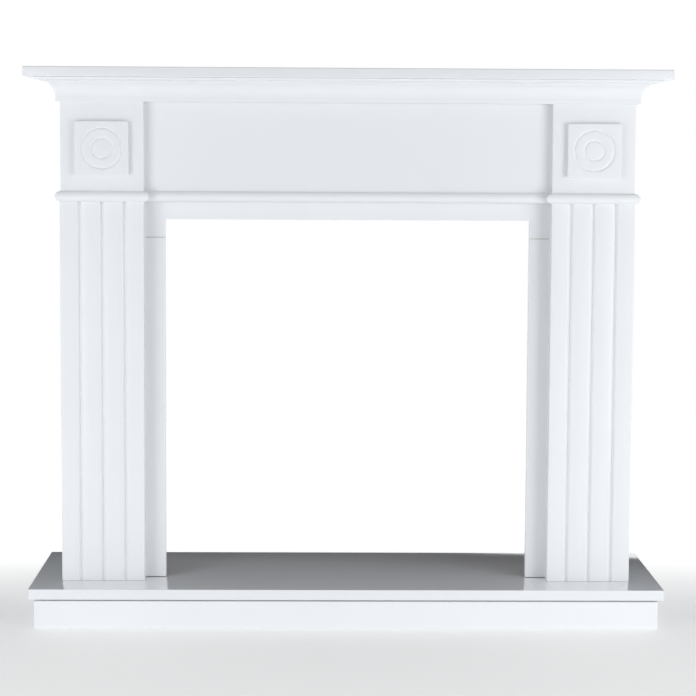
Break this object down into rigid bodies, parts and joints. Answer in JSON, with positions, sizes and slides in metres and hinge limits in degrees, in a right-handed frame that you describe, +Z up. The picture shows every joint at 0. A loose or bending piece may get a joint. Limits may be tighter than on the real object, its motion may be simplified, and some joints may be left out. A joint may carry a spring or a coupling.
{
  "type": "fireplace surround",
  "caption": "White fireplace surround: grooved pilasters, square ringed plates, necking moulding, frieze, crown moulding and shelf, standing on a hearth board with a low plinth.",
  "frame": {"origin": "middle of the underside of the bounding box, on the floor, half way between the wall plane and the hearth's front edge", "axes": "+X to the right seen from the front, -Y out of the wall towards the room, +Z up"},
  "size_m": [1.2206, 0.38, 1.064],
  "materials": {
    "satin_white_paint": "satin paint",
    "gloss_white_hearth": "gloss",
    "bare_fibreboard": "matt, unpainted"
  },
  "bodies": {
    "root": {"shelf": "satin_white_paint", "crown_front": "satin_white_paint", "crown_left": "satin_white_paint", "crown_right": "satin_white_paint", "fascia": "satin_white_paint", "frieze": "satin_white_paint", "frieze_astragal": "satin_white_paint", "frieze_soffit": "satin_white_paint", "plinth_front": "satin_white_paint", "plinth_left": "satin_white_paint", "plinth_right": "satin_white_paint", "left_block": "satin_white_paint", "left_plate": "satin_white_paint", "left_pilaster": "satin_white_paint", "left_leg_outer_side": "satin_white_paint", "left_leg_inner_side": "satin_white_paint", "left_jamb_strip": "satin_white_paint", "left_header_outer_side": "satin_white_paint", "left_header_inner_side": "satin_white_paint", "left_necking_outer": "satin_white_paint", "left_necking_front": "satin_white_paint", "left_necking_inner": "satin_white_paint", "right_block": "satin_white_paint", "right_plate": "satin_white_paint", "right_pilaster": "satin_white_paint", "right_leg_outer_side": "satin_white_paint", "right_leg_inner_side": "satin_white_paint", "right_jamb_strip": "satin_white_paint", "right_header_outer_side": "satin_white_paint", "right_header_inner_side": "satin_white_paint", "right_necking_outer": "satin_white_paint", "right_necking_front": "satin_white_paint", "right_necking_inner": "satin_white_paint", "hearth_board": "gloss_white_hearth", "plinth_back": "bare_fibreboard", "header_top_board": "bare_fibreboard", "header_back_rail": "bare_fibreboard"}
  },
  "joints": []
}
